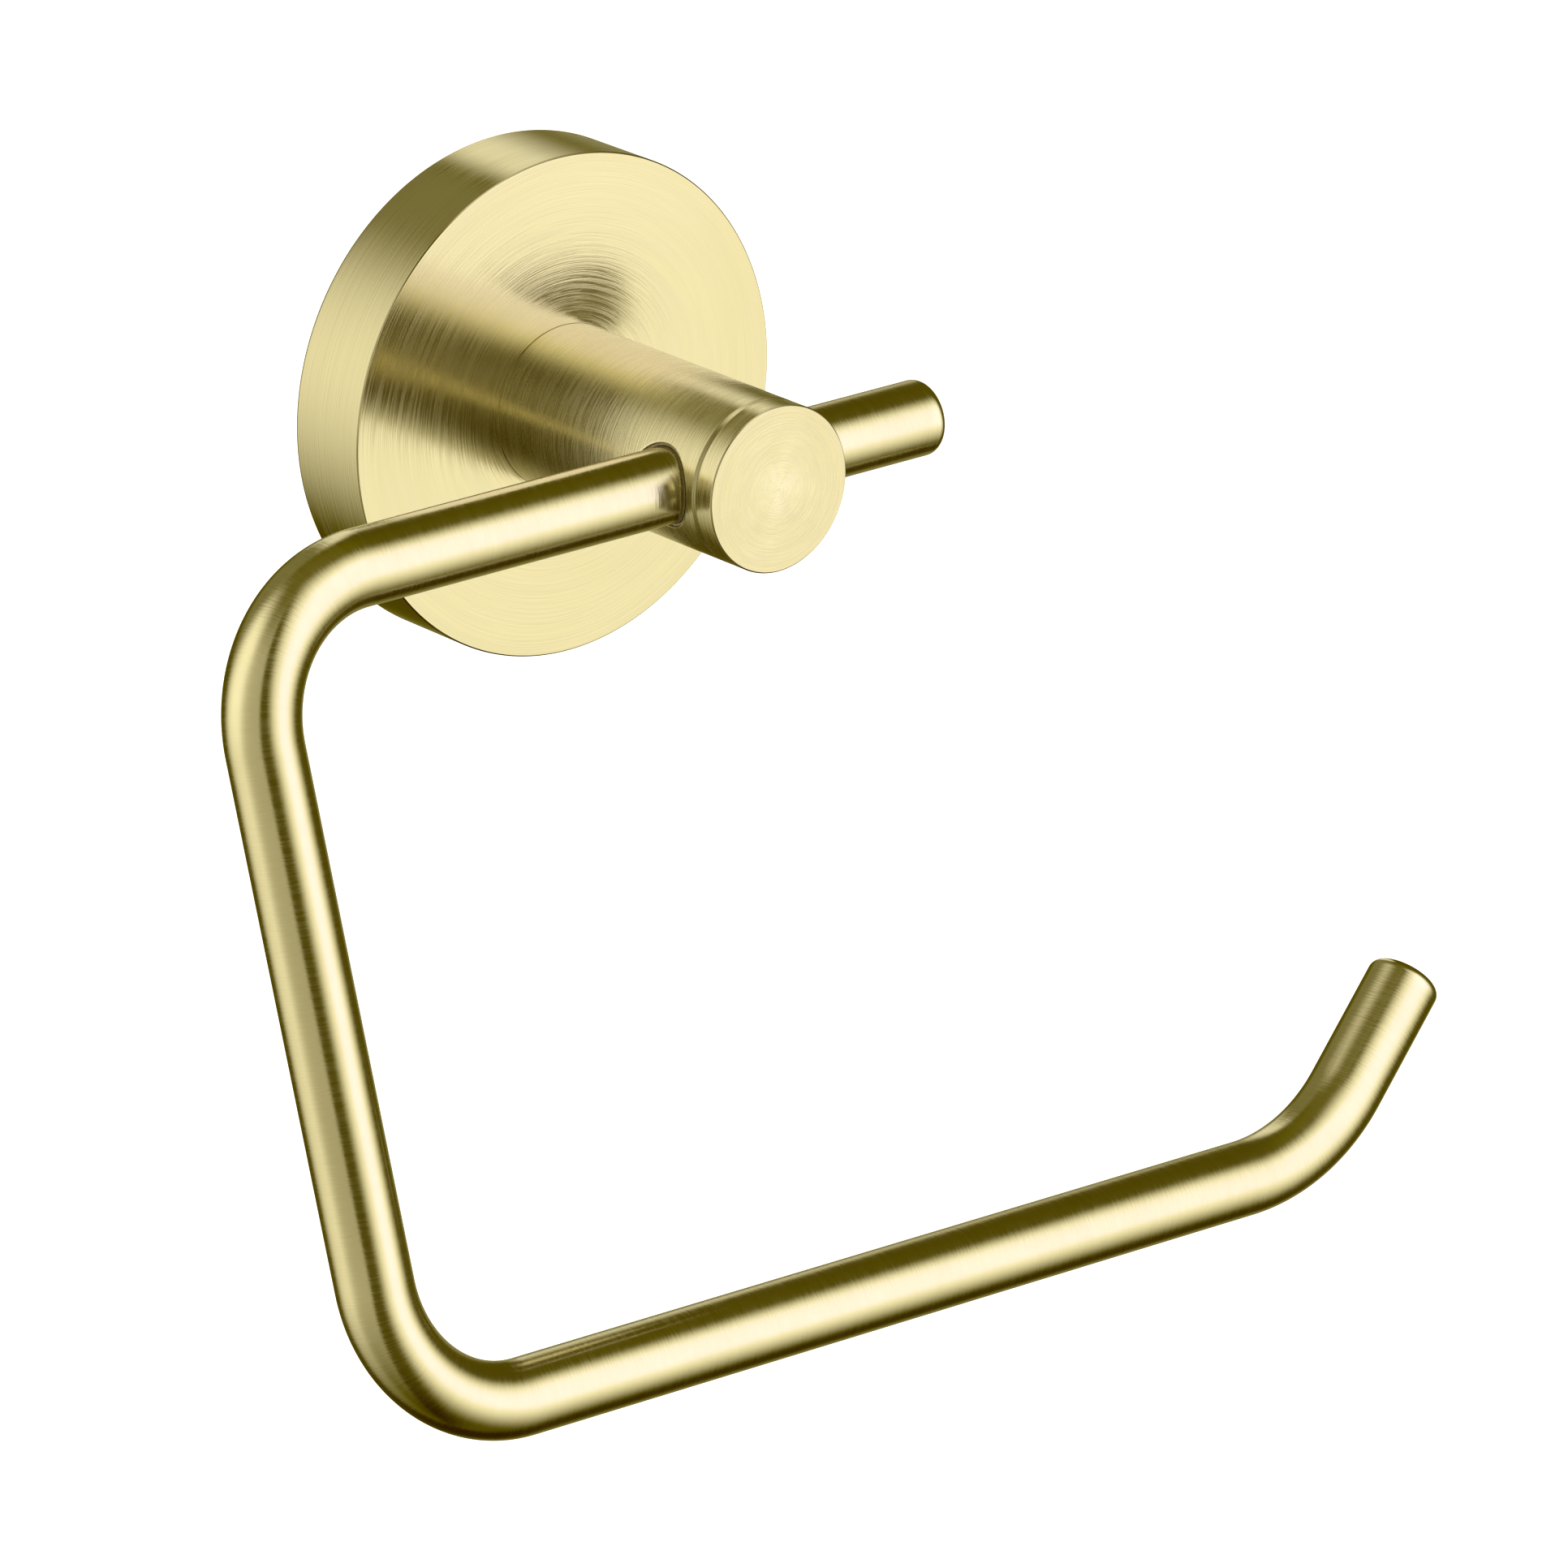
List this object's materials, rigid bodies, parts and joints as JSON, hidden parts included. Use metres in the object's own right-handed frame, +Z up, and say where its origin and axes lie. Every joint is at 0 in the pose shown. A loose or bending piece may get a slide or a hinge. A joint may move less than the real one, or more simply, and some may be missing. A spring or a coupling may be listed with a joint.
{
  "type": "toilet paper holder",
  "caption": "Wall-mounted toilet paper holder: a round cover cup and post carry a bent round bar with an upturned tip, which swings in the post.",
  "frame": {"origin": "on the wall, at the centre of the bracket's rear face and on the post's axis", "axes": "-Y points out of the wall into the room along the post, +Z is up, +X is the side of the bar's short stub and of its upturned tip"},
  "size_m": [0.1464, 0.0682, 0.1165],
  "materials": {
    "gold_finish": "stainless steel, fine brushed, pale gold coating",
    "bracket_steel": "plain turned stainless steel",
    "screw_steel": "plain stainless steel",
    "spring_steel": "bright spring steel",
    "liner_plastic": "low-friction plastic sleeve filled with bronze powder",
    "pellet_plastic": "natural nylon"
  },
  "bodies": {
    "wall_unit": {"escutcheon": "gold_finish", "wall_bracket": "bracket_steel", "cup_grub_screw": "screw_steel", "post": "gold_finish", "end_cap": "gold_finish", "left_liner": "liner_plastic", "right_liner": "liner_plastic", "friction_pellet": "pellet_plastic", "pressure_spring": "spring_steel", "adjusting_screw": "screw_steel", "fixing_screw": "screw_steel", "plain_washer": "screw_steel", "lock_washer": "spring_steel", "locating_pin": "screw_steel"},
    "swing_arm": {"bar": "gold_finish"}
  },
  "joints": [
    {"name": "arm_swing", "type": "hinge", "parent": "wall_unit", "child": "swing_arm", "pos_m": [0, -0.0382, 0], "axis": [-1, 0, 0], "range_deg": [-38, 184]}
  ]
}
